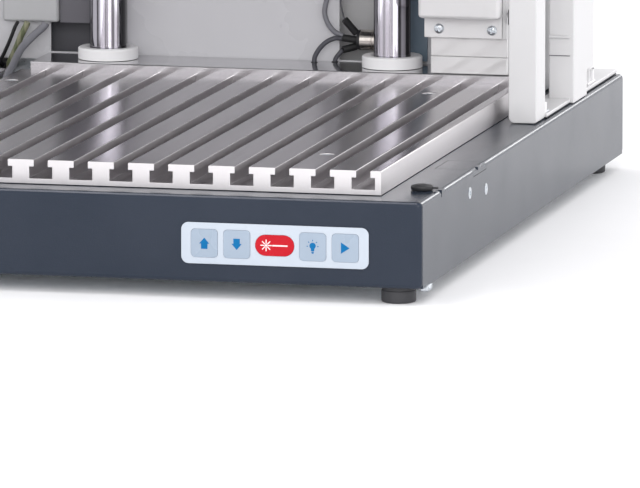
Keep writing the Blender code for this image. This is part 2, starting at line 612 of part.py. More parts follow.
def tower_cables():
    for name, route, diameter, colour, count in (
            ("cable_loop", LOOP, 3.4, GREY, 36), ("cable_arc", ARC, 3.2, GREY, 14),
            ("cable_lower", LOWER, 3.2, GREY, 8), ("cable_left", LEFT, 5.0, GREY, 20),
            ("cable_earth", EARTH, 4.2, (0.35, 0.38, 0.16), 20)):
        cable(name, route, diameter, plastic(name, colour), count)


def main():
    clear_scene()
    base_shell()
    deck_insert()
    base_panels()
    feet()
    keypad()
    t_slot_table()
    bar_and_columns()
    back_wall()
    wall_covers()
    posts()
    deck_ledges()
    rear_cover()
    upper_housing()
    lift_axis()
    hood()
    rear_fittings()
    electronics()
    connector()
    tower_cables()


main()
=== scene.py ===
"""Looks for the benchtop laser workstation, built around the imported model.

Lengths in this script are in millimetres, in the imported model's frame: X to the right, the front
faces -Y, Z up from the surface the feet stand on.  Places come from the boxes of the frame's nodes
where a node has the part, and small details and cable routes are plain lengths in that frame.
"""
import json
import math

import bmesh
import bpy
from mathutils import Matrix, Vector

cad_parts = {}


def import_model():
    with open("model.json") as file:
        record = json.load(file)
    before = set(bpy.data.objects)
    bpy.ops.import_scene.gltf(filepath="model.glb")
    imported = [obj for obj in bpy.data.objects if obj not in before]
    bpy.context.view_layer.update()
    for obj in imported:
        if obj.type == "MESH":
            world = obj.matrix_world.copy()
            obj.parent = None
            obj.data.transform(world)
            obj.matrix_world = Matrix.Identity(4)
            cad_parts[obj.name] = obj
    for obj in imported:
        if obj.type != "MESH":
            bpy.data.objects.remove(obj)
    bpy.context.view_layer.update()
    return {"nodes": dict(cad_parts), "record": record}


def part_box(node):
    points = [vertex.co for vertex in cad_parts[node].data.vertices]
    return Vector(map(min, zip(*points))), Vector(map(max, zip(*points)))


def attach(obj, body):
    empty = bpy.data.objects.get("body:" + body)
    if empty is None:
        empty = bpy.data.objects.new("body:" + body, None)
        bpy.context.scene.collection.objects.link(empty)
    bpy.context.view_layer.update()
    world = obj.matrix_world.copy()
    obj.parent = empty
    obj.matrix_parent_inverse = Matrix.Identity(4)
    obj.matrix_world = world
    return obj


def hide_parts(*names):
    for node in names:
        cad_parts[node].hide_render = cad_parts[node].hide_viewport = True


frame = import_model()

MM = 0.001
SIDES = (("left", -1), ("right", 1))            # and which way the side lies along X


def corners(node):
    """The lowest and highest corner of a CAD node, in millimetres."""
    low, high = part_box(node)
    return low / MM, high / MM


def centre(node):
    low, high = corners(node)
    return (low + high) / 2


# ---- materials
def new_material(name):
    mat = bpy.data.materials.new(name)
    mat.use_nodes = True
    return mat, mat.node_tree, mat.node_tree.nodes["Principled BSDF"]


def join(source, node, socket):
    node.id_data.links.new(source, node.inputs[socket])


def set_constants(node, constants):
    """Sets a node's sockets by name, where an underscore stands for a space."""
    for socket, value in constants.items():
        node.inputs[socket.replace("_", " ")].default_value = value


def object_space(tree, **mapping):
    """Coordinates in the object's own space, moved or stretched if a mapping is given."""
    coords = tree.nodes.new("ShaderNodeTexCoord").outputs["Object"]
    if not mapping:
        return coords
    node = tree.nodes.new("ShaderNodeMapping")
    set_constants(node, mapping)
    join(coords, node, "Vector")
    return node.outputs["Vector"]


def texture(tree, kind, vector, **constants):
    node = tree.nodes.new("ShaderNodeTex" + kind)
    set_constants(node, constants)
    join(vector, node, "Vector")
    return node


def noise(tree, scale, stretch=(1.0, 1.0, 1.0), detail=3.0):
    """Noise in object space; stretch below 1 draws the grain out along that axis."""
    place = object_space(tree, Scale=stretch)
    return texture(tree, "Noise", place, Scale=scale, Detail=detail).outputs["Fac"]


def ramp(tree, factor, stops):
    node = tree.nodes.new("ShaderNodeValToRGB")
    while len(node.color_ramp.elements) < len(stops):
        node.color_ramp.elements.new(0.5)
    for element, (place, colour) in zip(node.color_ramp.elements, stops):
        element.position = place
        element.color = (*colour, 1.0)
    join(factor, node, "Fac")
    return node.outputs["Color"]


def map_range(tree, factor, low, high, from_low=0.3, from_high=0.7):
    node = tree.nodes.new("ShaderNodeMapRange")
    set_constants(node, {"From Min": from_low, "From Max": from_high, "To Min": low, "To Max": high})
    join(factor, node, "Value")
    return node.outputs["Result"]


def relief(tree, shader, height, depth, strength=1.0):
    """Bump of the given depth in millimetres, added under any bump that is already there."""
    node = tree.nodes.new("ShaderNodeBump")
    node.inputs["Distance"].default_value = depth * MM
    node.inputs["Strength"].default_value = strength
    join(height, node, "Height")
    if shader.inputs["Normal"].is_linked:
        join(shader.inputs["Normal"].links[0].from_socket, node, "Normal")
    join(node.outputs["Normal"], shader, "Normal")


def surface(name, rough, grain=900.0, depth=0.03, patches=25.0, stretch=(1, 1, 1), metallic=0.0,
            **constants):
    """A finish without colour: gloss that drifts in soft patches, and a fine grain in relief."""
    mat, tree, shader = new_material(name)
    shader.inputs["Metallic"].default_value = metallic
    set_constants(shader, constants)
    soft = noise(tree, patches, stretch)
    join(map_range(tree, soft, *rough), shader, "Roughness")
    relief(tree, shader, noise(tree, grain, stretch), depth)
    return mat, tree, shader, soft


def finish(name, dark, light, rough, grain=900.0, depth=0.03, **options):
    """A surface whose colour drifts between two close shades, in the same patches as its gloss."""
    mat, tree, shader, soft = surface(name, rough, grain, depth, **options)
    join(ramp(tree, soft, ((0.3, dark), (0.7, light))), shader, "Base Color")
    return mat


def facing(tree, axis, low, high):
    """0 to 1 as the normal's part along a world axis goes from low to high."""
    geometry = tree.nodes.new("ShaderNodeNewGeometry")
    split = tree.nodes.new("ShaderNodeSeparateXYZ")
    join(geometry.outputs["Normal"], split, "Vector")
    return map_range(tree, split.outputs[axis], 0.0, 1.0, low, high)


# A mix node's two inputs and its output, for each type of data that it can mix.
MIX_SOCKETS = {"FLOAT": (2, 3, 0), "RGBA": (6, 7, 2)}


def mix(tree, data_type, factor, first, second):
    node = tree.nodes.new("ShaderNodeMix")
    node.data_type = data_type
    first_in, second_in, out = MIX_SOCKETS[data_type]
    for socket, source in (("Factor", factor), (first_in, first), (second_in, second)):
        join(source, node, socket)
    return node.outputs[out]


def machined(name, top, ends, top_rough, end_rough, along="Y"):
    """Aluminium with a drawn grain, bright where it was cut, and greyer on the faces looking up as
    painted shade.
    """
    mat, tree, shader = new_material(name)
    shader.inputs["Metallic"].default_value = 1.0
    stretch = {"X": (0.02, 1.0, 1.0), "Y": (1.0, 0.02, 1.0), "Z": (1.0, 1.0, 0.02)}[along]
    drawn = noise(tree, 1600.0, stretch, 4.0)
    broad = noise(tree, 60.0, stretch, 2.0)
    sawn = noise(tree, 900.0, (1.0, 1.0, 0.25), 3.0)
    # faces looking up take the greyer top colour: painted shade, masked by the world normal
    up = facing(tree, "Z", 0.6, 0.95)
    shaded_top_colour = ramp(tree, broad, ((0.3, [c * 0.86 for c in top]), (0.7, top)))
    end_colour = ramp(tree, sawn, ((0.3, [c * 0.97 for c in ends]), (0.6, ends)))
    join(mix(tree, "RGBA", up, end_colour, shaded_top_colour), shader, "Base Color")
    smooth = map_range(tree, drawn, *top_rough)
    coarse = map_range(tree, sawn, *end_rough)
    join(mix(tree, "FLOAT", up, coarse, smooth), shader, "Roughness")
    relief(tree, shader, drawn, 0.004, 0.5)
    return mat


def polished_column(name, middle, bands):
    """Hard chrome.  The long bands are painted by angle, and stand in for a room's reflections."""
    mat, tree, shader, _ = surface(name, (0.07, 0.12), grain=2500.0, depth=0.002, patches=400.0,
                                   stretch=(1, 1, 0.01), metallic=1.0)
    from_axis = object_space(tree, Location=(-middle.x * MM, -middle.y * MM, 0.0))
    around = texture(tree, "Gradient", from_axis)
    around.gradient_type = "RADIAL"
    stops = [((angle + 180.0) / 360.0, (v, v * 0.97, v * 1.06)) for angle, v in bands]
    join(ramp(tree, around.outputs["Fac"], stops), shader, "Base Color")
    return mat


# Angle around a column's axis in degrees, and how bright the painted reflection on the chrome is there.
REFLECTIONS_BEHIND = ((5, 0.06), (30, 0.6), (60, 0.9), (75, 0.3), (90, 0.85), (110, 0.35), (125, 0.9),
          (145, 0.4), (180, 0.5))
LEFT_PAINTED_REFLECTIONS = ((-180, 0.5), (-158, 0.10), (-140, 0.30), (-102, 0.30), (-97, 0.92), (-87, 0.92),
              (-84, 0.26), (-75, 0.30), (-73, 0.95), (-66, 0.95), (-63, 0.3), (-57, 0.3),
              (-55, 0.95), (-46, 0.95), (-43, 0.30), (-34, 0.26), (-29, 0.04)) + REFLECTIONS_BEHIND
RIGHT_PAINTED_REFLECTIONS = ((-180, 0.5), (-150, 0.10), (-143, 0.35), (-128, 0.3), (-121, 0.85), (-109, 0.9),
               (-106, 0.5), (-100, 0.55), (-97, 0.9), (-88, 0.9), (-84, 0.3), (-76, 0.28),
               (-73, 0.95), (-60, 0.95), (-57, 0.16), (-50, 0.16), (-47, 0.8), (-33, 0.7),
               (-29, 0.10)) + REFLECTIONS_BEHIND


def coated(name, dark, light, rough, pebbles=1300.0, depth=0.05, **constants):
    """Powder coat: a pebbled skin of small rounded cells over faint patches of colour."""
    mat = finish(name, dark, light, rough, pebbles * 0.6, depth, patches=18.0, **constants)
    tree = mat.node_tree
    cells = texture(tree, "Voronoi", object_space(tree), Scale=pebbles)
    cells.feature = "SMOOTH_F1"
    relief(tree, tree.nodes["Principled BSDF"], cells.outputs["Distance"], depth, 0.6)
    return mat


def earth_sleeve(name):
    """Green insulation with stripes of yellow across it."""
    mat, tree, shader = new_material(name)
    shader.inputs["Roughness"].default_value = 0.5
    wave = texture(tree, "Wave", object_space(tree), Scale=55.0, Distortion=0.4)
    stops = ((0.45, (0.15, 0.17, 0.09)), (0.55, (0.29, 0.29, 0.19)))
    join(ramp(tree, wave.outputs["Fac"], stops), shader, "Base Color")
    relief(tree, shader, noise(tree, 1500.0), 0.02)
    return mat


def circuit(name):
    """Green solder mask over faint tracks."""
    mat, tree, shader = new_material(name)
    tracks = texture(tree, "Brick", object_space(tree), Scale=90.0, Mortar_Size=0.06)
    stops = ((0.2, (0.01, 0.10, 0.04)), (0.8, (0.03, 0.2, 0.07)))
    join(ramp(tree, tracks.outputs["Fac"], stops), shader, "Base Color")
    shader.inputs["Roughness"].default_value = 0.35
    relief(tree, shader, tracks.outputs["Fac"], 0.04)
    return mat


M = {
    "slate": coated("slate_coat", (0.016, 0.024, 0.038), (0.021, 0.029, 0.044), (0.16, 0.22),
                    IOR=1.35, Specular_Tint=(0.95, 0.93, 1.0, 1.0)),
    "white": coated("white_coat", (0.649, 0.645, 0.649), (0.679, 0.675, 0.679), (0.30, 0.42),
                    900.0, 0.015),
    "wall": coated("wall_coat", (0.616, 0.612, 0.634), (0.642, 0.638, 0.660), (0.22, 0.34), 900.0, 0.01),
    # A lighter copy of the white coat, with painted light, for the wall box and its flange.
    "bright": coated("white_coat_painted_light", (0.774, 0.765, 0.769), (0.801, 0.792, 0.796), (0.30, 0.42),
                     900.0, 0.015),
    # A darker copy of the white coat, with painted shade, for the hood, the upper housing, the rear
    # cover, the left bay's cover, the lid and the louvres.
    "hood": coated("white_coat_painted_shade", (0.484, 0.488, 0.497), (0.515, 0.519, 0.528), (0.32, 0.45), 900.0, 0.015),
    "gloss": finish("white_enamel", (0.756, 0.747, 0.747), (0.783, 0.774, 0.774), (0.05, 0.08),
                    60.0, 0.03, IOR=2.5),
    # for each, the first colour is the painted shade of the faces looking up, the second the colour of
    # cut ends
    "aluminium": machined("mill_aluminium", (0.381, 0.355, 0.377), (0.744, 0.721, 0.730),
                          (0.20, 0.26), (0.35, 0.5)),
    "bar": machined("ground_bar", (0.558, 0.549, 0.567), (0.744, 0.730, 0.744), (0.08, 0.14),
                    (0.16, 0.24), "X"),
    "metal": machined("bright_aluminium", (0.66, 0.66, 0.68), (0.72, 0.72, 0.73), (0.25, 0.4),
                      (0.3, 0.4), "X"),
    # A dark coat: painted shade on the flange of the left bay's cover, and the real dark joint lines of
    # the rear posts.
    "shade": finish("painted_shade_and_joint_coat", (0.126, 0.122, 0.140), (0.153, 0.149, 0.167), (0.4, 0.5)),
    # A near-black plate colour: painted shade at the back of the left bay.
    "painted_shade_dark": finish("painted_shade_liner", (0.090, 0.090, 0.104), (0.117, 0.117, 0.131), (0.5, 0.6)),
    # A dark blue-grey: painted shade in the right bay, behind the right column.
    "painted_shade_blue": finish("painted_shade_strip", (0.153, 0.207, 0.261), (0.189, 0.243, 0.297), (0.2, 0.3)),
    "chrome_left": polished_column("chrome_painted_reflections_left", centre("guide_column_left"), LEFT_PAINTED_REFLECTIONS),
    "chrome_right": polished_column("chrome_painted_reflections_right", centre("guide_column_right"), RIGHT_PAINTED_REFLECTIONS),
    "collar": finish("white_plastic", (0.91, 0.905, 0.91), (0.94, 0.935, 0.94), (0.35, 0.45)),
    "zinc": finish("zinc_steel", (0.50, 0.54, 0.58), (0.72, 0.75, 0.78), (0.22, 0.4),
                   1200.0, 0.01, patches=350.0, metallic=1.0),
    "rubber": finish("rubber", (0.025, 0.025, 0.029), (0.039, 0.039, 0.044), (0.45, 0.6), 1500.0, 0.05),
    "film": finish("keypad_film", (0.459, 0.508, 0.576), (0.486, 0.535, 0.594), (0.22, 0.30),
                   2200.0, 0.008),
    "key": finish("key_film", (0.293, 0.356, 0.436), (0.315, 0.378, 0.459), (0.25, 0.33), 2200.0, 0.008),
    "blue": finish("blue_ink", (0.003, 0.123, 0.314), (0.008, 0.147, 0.351), (0.35, 0.45),
                   2200.0, 0.004, IOR=1.2),
    "ink": finish("white_ink", (0.80, 0.66, 0.66), (0.86, 0.74, 0.73), (0.3, 0.4), 2200.0, 0.004),
    "lens": finish("red_lens", (0.437, 0.003, 0.011), (0.484, 0.006, 0.017), (0.22, 0.3),
                   1200.0, 0.01, IOR=1.3),
    "acrylic": finish("tinted_acrylic", (0.01, 0.16, 0.05), (0.015, 0.19, 0.06), (0.03, 0.05),
                      40.0, 0.001, Transmission_Weight=0.85, IOR=1.49),
    "glass": finish("lens_glass", (0.02, 0.015, 0.03), (0.03, 0.02, 0.045), (0.02, 0.04),
                    30.0, 0.002, Coat_Weight=1.0, IOR=1.7),
    "black": finish("black_plastic", (0.012, 0.012, 0.014), (0.02, 0.02, 0.022), (0.35, 0.5),
                    1100.0, 0.04),
    "anodised": finish("black_anodised", (0.02, 0.021, 0.024), (0.035, 0.036, 0.04),
                       (0.3, 0.42), 1800.0, 0.012, metallic=0.6),
    "nickel": finish("nickel", (0.60, 0.55, 0.50), (0.78, 0.73, 0.68), (0.14, 0.24),
                     1500.0, 0.006, patches=200.0, metallic=1.0),
    "grey_cable": finish("grey_cable", (0.17, 0.17, 0.19), (0.22, 0.22, 0.245), (0.4, 0.5), 1500.0, 0.02),
    "dark_cable": finish("dark_cable", (0.05, 0.05, 0.06), (0.075, 0.075, 0.09), (0.4, 0.5),
                         1500.0, 0.02),
    "sleeve": finish("black_sleeve", (0.010, 0.010, 0.011), (0.02, 0.02, 0.021), (0.5, 0.65),
                     1800.0, 0.05),
    "earth": earth_sleeve("earth_sleeve"),
    "board": circuit("board"),
}


# ---- mesh helpers
def to_mesh(bm, name):
    """A mesh in metres from a shape in millimetres, with its faces looking outwards."""
    bmesh.ops.recalc_face_normals(bm, faces=bm.faces)
    bmesh.ops.scale(bm, verts=bm.verts, vec=(MM, MM, MM))
    mesh = bpy.data.meshes.new(name)
    bm.to_mesh(mesh)
    bm.free()
    return mesh


def place_object(name, data):
    obj = bpy.data.objects.new(name, data)
    bpy.context.scene.collection.objects.link(obj)
    return obj


def settle(obj, body, stands_for):
    """Lets a piece ride on a body, and hides the CAD nodes that it replaces."""
    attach(obj, body)
    if stands_for:
        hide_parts(*stands_for)
    return obj


SHARP_ANGLE, BEVEL_ANGLE = math.radians(30), math.radians(40)


def piece(name, bm, finish_name, body="frame", edge=0.0, stands_for=()):
    """Makes a piece from a shape in millimetres, with its edges rounded by the width given."""
    mesh = to_mesh(bm, name)
    mesh.materials.append(M[finish_name])
    obj = place_object(name, mesh)
    if edge:
        bevel = obj.modifiers.new("edge", "BEVEL")
        bevel.width = edge * MM
        bevel.segments = 2
        bevel.limit_method = "ANGLE"
        bevel.angle_limit = BEVEL_ANGLE
        bevel.harden_normals = True
    mesh.shade_smooth()
    mesh.set_sharp_from_angle(angle=SHARP_ANGLE)
    keep_faces_flat(obj)
    return settle(obj, body, stands_for)


def keep_faces_flat(obj):
    """Lets the large faces decide the shading, so that only the rounded edges look round."""
    weighted = obj.modifiers.new("flat_faces", "WEIGHTED_NORMAL")
    weighted.weight = 100
    weighted.keep_sharp = True


def arc(middle, radius, start, end, steps):
    """Points on an arc, with the angles in degrees."""
    angles = [math.radians(start + (end - start) * i / steps) for i in range(steps + 1)]
    return [(middle[0] + radius * math.cos(a), middle[1] + radius * math.sin(a)) for a in angles]


def rounded(x0, y0, x1, y1, radius, steps):
    """A rectangle with round corners, anticlockwise from its lower right corner."""
    points = arc((x1 - radius, y0 + radius), radius, -90, 0, steps)
    points += arc((x1 - radius, y1 - radius), radius, 0, 90, steps)
    points += arc((x0 + radius, y1 - radius), radius, 90, 180, steps)
    return points + arc((x0 + radius, y0 + radius), radius, 180, 270, steps)


def around_box(low, high, grow, radius, steps):
    """A rounded outline around a node's front view, grown outwards at its corners too."""
    return rounded(low.x - grow, low.z - grow, high.x + grow, high.z + grow, radius + grow, steps)


def mirrored(outline):
    return [(-u, v) for u, v in reversed(outline)]


def upright(node):
    """The radius, the height and the lowest middle point of a node that is round about Z."""
    low, high = corners(node)
    middle = (low + high) / 2
    return (high.x - low.x) / 2, high.z - low.z, (middle.x, middle.y, low.z)


def at(axis, u, v, w):
    """A point (u, v) of an outline, moved w along the axis that the outline is extruded on."""
    return {"X": (w, u, v), "Y": (u, w, v), "Z": (u, v, w)}[axis]


def add_prism(bm, outline, axis, low, high):
    ring = [bm.verts.new(at(axis, u, v, low)) for u, v in outline]
    side = bmesh.ops.extrude_face_region(bm, geom=[bm.faces.new(ring)])["geom"]
    moved = [item for item in side if isinstance(item, bmesh.types.BMVert)]
    bmesh.ops.translate(bm, verts=moved, vec=at(axis, 0.0, 0.0, high - low))


def prism(name, outline, axis, low, high, finish_name, **kwargs):
    bm = bmesh.new()
    add_prism(bm, outline, axis, low, high)
    return piece(name, bm, finish_name, **kwargs)


def add_block(bm, low, high):
    outline = [(low[0], low[1]), (high[0], low[1]), (high[0], high[1]), (low[0], high[1])]
    add_prism(bm, outline, "Z", low[2], high[2])


def plate(name, low, high, finish_name, edge=0.3, **kwargs):
    """A straight plate or block between two corners, with eased edges."""
    bm = bmesh.new()
    add_block(bm, low, high)
    return piece(name, bm, finish_name, edge=edge, **kwargs)


TURNS = {"X": Matrix.Rotation(math.pi / 2, 4, "Y"), "Y": Matrix.Rotation(-math.pi / 2, 4, "X"),
         "Z": Matrix.Identity(4), "-Y": Matrix.Rotation(math.pi / 2, 4, "X"),
         "-Z": Matrix.Rotation(math.pi, 4, "X"), "-X": Matrix.Rotation(-math.pi / 2, 4, "Y")}


def add_turned(bm, profile, middle, axis, sides):
    """A solid of revolution from a list of (radius, height), closed on the axis or as a ring."""
    turn = 2 * math.pi / sides
    rings = []
    for radius, height in profile:
        steps = sides if radius else 1
        rings.append([bm.verts.new((radius * math.cos(i * turn), radius * math.sin(i * turn),
                                    height)) for i in range(steps)])
    pairs = list(zip(rings, rings[1:]))
    if profile[0][0] > 0.0:
        pairs.append((rings[-1], rings[0]))
    for lower, upper in pairs:
        for i in range(sides):
            j = (i + 1) % sides
            ring = [lower[i % len(lower)], lower[j % len(lower)], upper[j % len(upper)],
                    upper[i % len(upper)]]
            bm.faces.new(list(dict.fromkeys(ring)))
    made = [v for ring in rings for v in ring]
    bmesh.ops.transform(bm, matrix=Matrix.Translation(middle) @ TURNS[axis], verts=made)


def turned(name, profile, middle, axis, finish_name, sides=48, **kwargs):
    bm = bmesh.new()
    add_turned(bm, profile, middle, axis, sides)
    return piece(name, bm, finish_name, **kwargs)


def carve(obj, cutters):
    """Cuts closed shapes out of a piece and keeps only the result."""
    bm = bmesh.new()
    for add, args in cutters:
        add(bm, *args)
    tool = place_object("cutter", to_mesh(bm, "cutter"))
    cut = obj.modifiers.new("cut", "BOOLEAN")
    cut.object = tool
    cut.solver = "EXACT"
    obj.modifiers.move(len(obj.modifiers) - 1, 0)
    bpy.context.view_layer.update()
    graph = bpy.context.evaluated_depsgraph_get()
    result = bpy.data.meshes.new_from_object(obj.evaluated_get(graph))
    obj.modifiers.clear()
    obj.data = result
    bpy.data.objects.remove(tool, do_unlink=True)
    result.set_sharp_from_angle(angle=SHARP_ANGLE)
    keep_faces_flat(obj)
    return obj


def tube(name, route, diameter, finish_name, stands_for=()):
    """A cable along a smooth curve through the route's points."""
    curve = bpy.data.curves.new(name, "CURVE")
    curve.dimensions = "3D"
    curve.bevel_depth = diameter / 2 * MM
    curve.bevel_resolution = 5
    curve.use_fill_caps = True
    path = smooth_path(route)
    spline = curve.splines.new("POLY")
    spline.points.add(len(path) - 1)
    for spot, point in zip(spline.points, path):
        spot.co = (*(point * MM), 1.0)
    spline.use_smooth = True
    curve.materials.append(M[finish_name])
    return settle(place_object(name, curve), "frame", stands_for)


def smooth_path(route, per_span=6):
    """Points on a Catmull-Rom curve through the route's own points."""
    knots = [Vector(p) for p in route]
    knots = [2 * knots[0] - knots[1]] + knots + [2 * knots[-1] - knots[-2]]
    path = []
    for i in range(len(knots) - 3):
        a, b, c, d = knots[i:i + 4]
        for step in range(per_span):
            t = step / per_span
            path.append(0.5 * (2 * b + (c - a) * t + (2 * a - 5 * b + 4 * c - d) * t ** 2
                               + (3 * b - a - 3 * c + d) * t ** 3))
    return path + [knots[-2]]


def add_copy(bm, mesh, matrix):
    """Adds a copy of a mesh, moved and turned by the matrix."""
    before = set(bm.verts)
    bm.from_mesh(mesh)
    made = [v for v in bm.verts if v not in before]
    bmesh.ops.transform(bm, matrix=matrix, verts=made)


def screw_template(drive):
    """The head of a screw of radius 1 mm on the Z axis, with a cross or hexagon recess."""
    if drive == "hexagon":
        profile = [(0.0, -0.1), (1.0, -0.1), (1.0, 0.62), (0.92, 0.72), (0.0, 0.72)]
        recess = [(add_prism, (arc((0, 0), 0.5, 0, 300, 5), "Z", 0.2, 2.0))]
    else:
        dome = [(math.cos(t), 0.12 + 0.46 * math.sin(t))
                for t in (math.radians(12 * i) for i in range(7))]
        profile = [(0.0, -0.1), (1.0, -0.1)] + dome + [(0.0, 0.585)]
        recess = [(add_prism, (plus_outline(0.62, 0.15), "Z", 0.22, 2.0))]
    obj = turned("template", profile, (0, 0, 0), "Z", "zinc", sides=32)
    mesh = carve(obj, recess).data
    mesh.transform(Matrix.Scale(1 / MM, 4))
    bpy.data.objects.remove(obj, do_unlink=True)
    return mesh


def plus_outline(reach, half):
    """A plus sign, anticlockwise."""
    quarter = [(reach, -half), (reach, half), (half, half)]
    turns = ((1, 0), (0, 1), (-1, 0), (0, -1))
    return [(c * u - s * v, s * u + c * v) for c, s in turns for u, v in quarter]


def screws(name, places, axis, diameter, body="frame", drive="cross"):
    """A group of equal screw heads standing on a face."""
    bm = bmesh.new()
    for i, place in enumerate(places):
        spin = Matrix.Rotation(math.radians(25 + 47 * i), 4, "Z")
        size = Matrix.Diagonal((diameter / 2, diameter / 2, diameter / 2, 1.0))
        add_copy(bm, SCREWS[drive], Matrix.Translation(place) @ TURNS[axis] @ spin @ size)
    return piece(name, bm, "zinc", body=body)


SCREWS = {drive: screw_template(drive) for drive in ("cross", "hexagon")}


# ---- finishes of the CAD nodes that keep their shape
KEPT = {
    "slate": ("front_panel", "rear_panel", "deck_insert"),
    "wall": ("back_wall",),
    # the darker copy of the white coat, with painted shade
    "hood": ("rear_cover", "upper_housing", "hood_shell"),
    "metal": ("lift_carriage", "top_bridge", "hood_rail_left", "hood_rail_right", "hood_handle",
              "lead_screw"),
    "zinc": ("bottom_plate", "power_supply"),
    "acrylic": ("hood_window",),
    "black": ("lift_motor", "mains_inlet", "power_switch", "exhaust_port"),
    "anodised": ("laser_head", "scan_lens"),
    "board": ("control_board",),
}


def dress_cad_nodes():
    for finish_name, names in KEPT.items():
        for name in names:
            mesh = frame["nodes"][name].data
            mesh.materials.clear()
            mesh.materials.append(M[finish_name])


# ---- base
SHEET, BEND = 1.5, 3.0
STRIKE_GAP = 0.3                       # around the strike plate
RELIEFS = (-246.0, -145.0)             # where the latches reach through the right edge
RELIEF_IN, RELIEF_DOWN, RELIEF_HALF = 3.4, 4.2, 0.8
TAB_SIZE, TAB_LENGTH, TAB_GAP = 3.3, 9.0, 0.05
SIDE_SCREWS = ((-167.0, 49.6), (-121.0, 45.6))
CLIP_Y = (-290.0, -276.0)
CLIP_Z = (7.4, 10.6)


def base():
    """The folded deck and sides, with the reliefs that the hood's latches reach through."""
    low, high = corners("base_shell")
    strike_low, strike_high = corners("deck_insert")
    x, top = high.x, high.z
    bend = (x - BEND, top - BEND)
    right = [(x, low.z)] + arc(bend, BEND, 0, 90, 10)
    inside = arc(bend, BEND - SHEET, 90, 0, 10) + [(x - SHEET, low.z)]
    outline = right + mirrored(right) + mirrored(inside) + inside
    shell = prism("base_skin", outline, "Y", low.y, high.y, "slate", stands_for=["base_shell"])
    cuts = [(add_block, ((strike_low.x - STRIKE_GAP, strike_low.y - STRIKE_GAP,
                          strike_low.z - STRIKE_GAP), (x + 1, strike_high.y + STRIKE_GAP, top + 1)))]
    for y in RELIEFS:
        cuts.append((add_block, ((x - RELIEF_IN, y - RELIEF_HALF, top - RELIEF_DOWN),
                                 (x + 1, y + RELIEF_HALF, top + 1))))
    sink = [(0.0, -1.4), (2.6, -1.4), (4.0, 0.0), (4.0, 1.0), (0.0, 1.0)]
    for y, z in SIDE_SCREWS:
        cuts.append((add_turned, (sink, (x, y, z), "X", 32)))
    carve(shell, cuts)
    for i, y in enumerate(RELIEFS):
        plate(f"latch_tab_{i + 1}", (x - TAB_SIZE, y + 1.0, top - TAB_SIZE),
              (x - TAB_GAP, y + TAB_LENGTH, top - TAB_GAP), "slate", edge=0.25)
    heads = bmesh.new()
    head = [(0.0, -1.3), (2.3, -1.3), (3.7, 0.0), (3.5, 0.25), (1.4, 0.25), (1.3, -0.5), (0.0, -0.5)]
    for y, z in SIDE_SCREWS:
        add_turned(heads, head, (x, y, z), "X", 32)
    piece("side_screws", heads, "zinc")
    clip = rounded(CLIP_Y[0], CLIP_Z[0], CLIP_Y[1], CLIP_Z[1], 1.2, 3)
    prism("corner_clip", clip, "X", x - 3, x + 1.2, "zinc", edge=0.3)
    screws("corner_clip_screw", [(x + 1.2, sum(CLIP_Y) / 2, sum(CLIP_Z) / 2)], "X", 2.8)


def feet_and_buffers():
    for name in [f"foot_{end}_{side}" for end in ("front", "rear") for side in ("left", "right")]:
        radius, height, middle = upright(name)
        neck = radius - 0.5
        profile = [(0.0, 0.0), (radius - 1.2, 0.0), (radius - 0.4, 0.4), (radius, 1.2),
                   (radius, height - 2.6), (neck, height - 2.2), (neck, height), (0.0, height)]
        turned("rubber_" + name, profile, middle, "Z", "rubber", stands_for=[name])
    for side in ("left", "right"):
        name = "hood_buffer_" + side
        radius, height, middle = upright(name)
        rim = arc((radius - 1.0, height - 1.6), 1.0, 0, 70, 4)
        profile = [(0.0, 0.0), (radius - 0.4, 0.0), (radius, 0.8)] + rim
        profile += [(3.0, height), (0.0, height)]
        turned("buffer_pad_" + side, profile, middle, "Z", "black", stands_for=[name])
    low, high = corners("hood_buffer_right")
    y = (low.y + high.y) / 2
    plate("buffer_tab", (high.x - 1.0, y - 1.0, low.z + 0.9), (high.x + 3.4, y + 1.6, low.z + 1.9),
          "black", edge=0.4)


# ---- keypad
INK = 0.06                     # how far printed marks stand off the film
KEY_PROUD = 0.2                # how far a key stands off the film
FIT = 0.05                     # the gap around a key
FILM_CORNER, KEY_CORNER = 4.4, 2.4


def keypad():
    low, high = corners("keypad_panel")
    face = low.y
    panel = prism("keypad_film", around_box(low, high, 0.0, FILM_CORNER, 8), "Y", face, high.y,
                  "film", edge=0.3, stands_for=["keypad_panel"])
    cuts = []
    for name in ("key_up", "key_down", "key_light", "key_start"):
        key_low, key_high = corners(name)
        cuts.append((add_prism, (around_box(key_low, key_high, FIT, KEY_CORNER, 7), "Y", face - 2,
                                 face + 9)))
        prism("cap_" + name, around_box(key_low, key_high, 0.0, KEY_CORNER, 7), "Y",
              face - KEY_PROUD, key_high.y, "key", body=name, edge=0.18, stands_for=[name])
    pill_low, pill_high = corners("indicator_lens")
    radius = (pill_high.z - pill_low.z) / 2 - FIT
    cuts.append((add_prism, (around_box(pill_low, pill_high, FIT, radius, 12), "Y", face - 2, face + 9)))
    prism("emission_lens", around_box(pill_low, pill_high, 0.0, radius, 12), "Y",
          face - KEY_PROUD, pill_high.y, "lens", edge=0.25, stands_for=["indicator_lens"])
    carve(panel, cuts)
    key_marks(face - KEY_PROUD)
    beam_mark(centre("indicator_lens"), face - KEY_PROUD)


def mark(name, shapes, middle, face, finish_name, body):
    """Printed shapes, drawn around a middle point, on a face that looks to the front."""
    bm = bmesh.new()
    for outline in shapes:
        moved = [(middle.x + u, middle.z + v) for u, v in outline]
        add_prism(bm, moved, "Y", face - INK, face + 0.1)
    return piece(name, bm, finish_name, body=body)


def bar_shape(length, width, angle, start):
    """A thin bar that points away from the origin at an angle."""
    turn = Matrix.Rotation(math.radians(angle), 2)
    end, half = start + length, width / 2
    bar = ((start, -half), (end, -half), (end, half), (start, half))
    return [tuple(turn @ Vector(p)) for p in bar]


